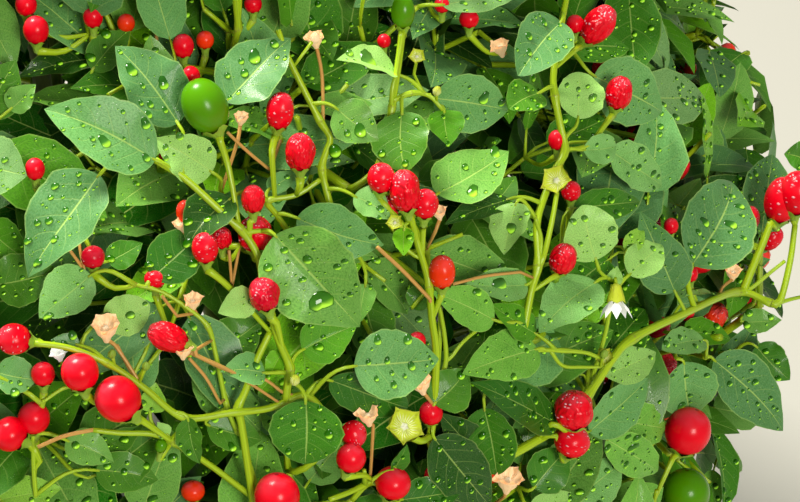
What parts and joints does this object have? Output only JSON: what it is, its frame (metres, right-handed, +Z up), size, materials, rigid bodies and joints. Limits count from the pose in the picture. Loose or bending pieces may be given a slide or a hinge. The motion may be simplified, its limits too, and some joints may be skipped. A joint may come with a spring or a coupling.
{
  "type": "chilli pepper plant",
  "caption": "Small-fruited chilli bush with a short woody stem, forking green boughs and masses of ovate leaves, bearing upright oval red fruit.",
  "frame": {"origin": "centre of the flat cut under the stem, at ground level", "axes": "+Z up, -Y towards the side the picture was taken from, +X to that viewer's right"},
  "size_m": [0.4181, 0.3888, 0.3977],
  "materials": {
    "bark": "matt, finely ridged",
    "green_stem": "satin, swollen and scarred at the nodes",
    "foliage": "satin leaves with pale veins, glossy red fruit"
  },
  "bodies": {
    "root": {"stem": "bark", "leader_bough": "green_stem", "spreading_bough_1": "green_stem", "spreading_bough_2": "green_stem", "spreading_bough_3": "green_stem", "upper_bough_1": "green_stem", "upper_bough_2": "green_stem", "upper_bough_3": "green_stem", "upper_bough_4": "green_stem", "upper_bough_5": "green_stem", "lower_bough_1": "green_stem", "lower_bough_3": "green_stem", "lower_bough_4": "green_stem", "lower_bough_6": "green_stem", "lower_bough_7": "green_stem", "lower_bough_9": "green_stem", "foliage_top": "foliage", "foliage_upper_1": "foliage", "foliage_upper_2": "foliage", "foliage_upper_3": "foliage", "foliage_upper_4": "foliage", "foliage_upper_5": "foliage", "foliage_lower_1": "foliage", "foliage_lower_2": "foliage", "foliage_lower_3": "foliage", "foliage_lower_4": "foliage", "foliage_lower_5": "foliage", "foliage_lower_6": "foliage", "foliage_lower_7": "foliage", "foliage_lower_8": "foliage", "foliage_lower_9": "foliage"}
  },
  "joints": []
}
